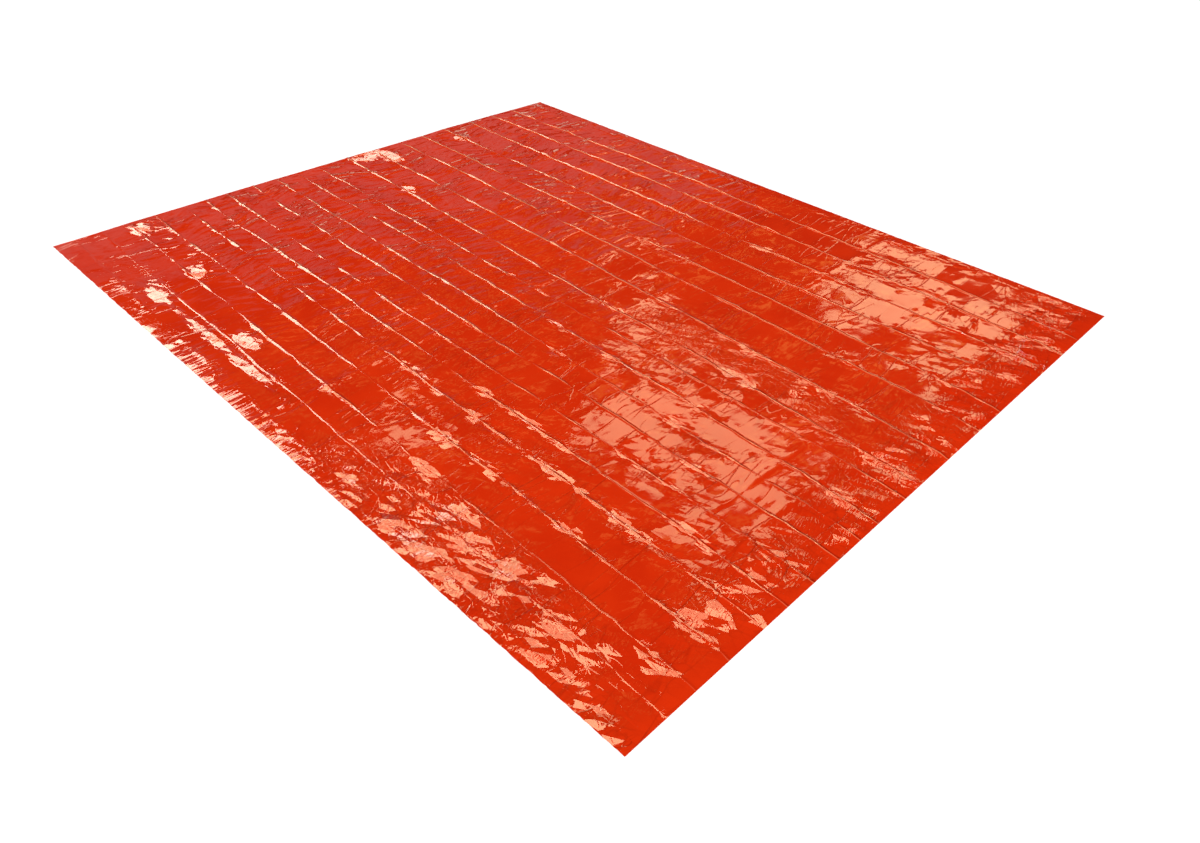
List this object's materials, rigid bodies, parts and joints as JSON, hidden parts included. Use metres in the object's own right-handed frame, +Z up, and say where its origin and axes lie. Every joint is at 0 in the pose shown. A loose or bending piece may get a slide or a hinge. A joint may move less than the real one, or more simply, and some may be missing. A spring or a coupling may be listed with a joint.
{
  "type": "emergency sleeping bag",
  "caption": "Flat, empty sleeping bag of thin glossy orange film with fold creases, welded along both long sides, closed at the foot and open at the mouth.",
  "frame": {"origin": "under the middle of the bag, on the surface that it lies on", "axes": "+X across the bag, +Y from its foot to its mouth, +Z up"},
  "size_m": [1.75, 2.1, 0.0142],
  "materials": {
    "film": "glossy thin film, creased where it was folded"
  },
  "bodies": {
    "root": {"film_bag": "film"}
  },
  "joints": []
}
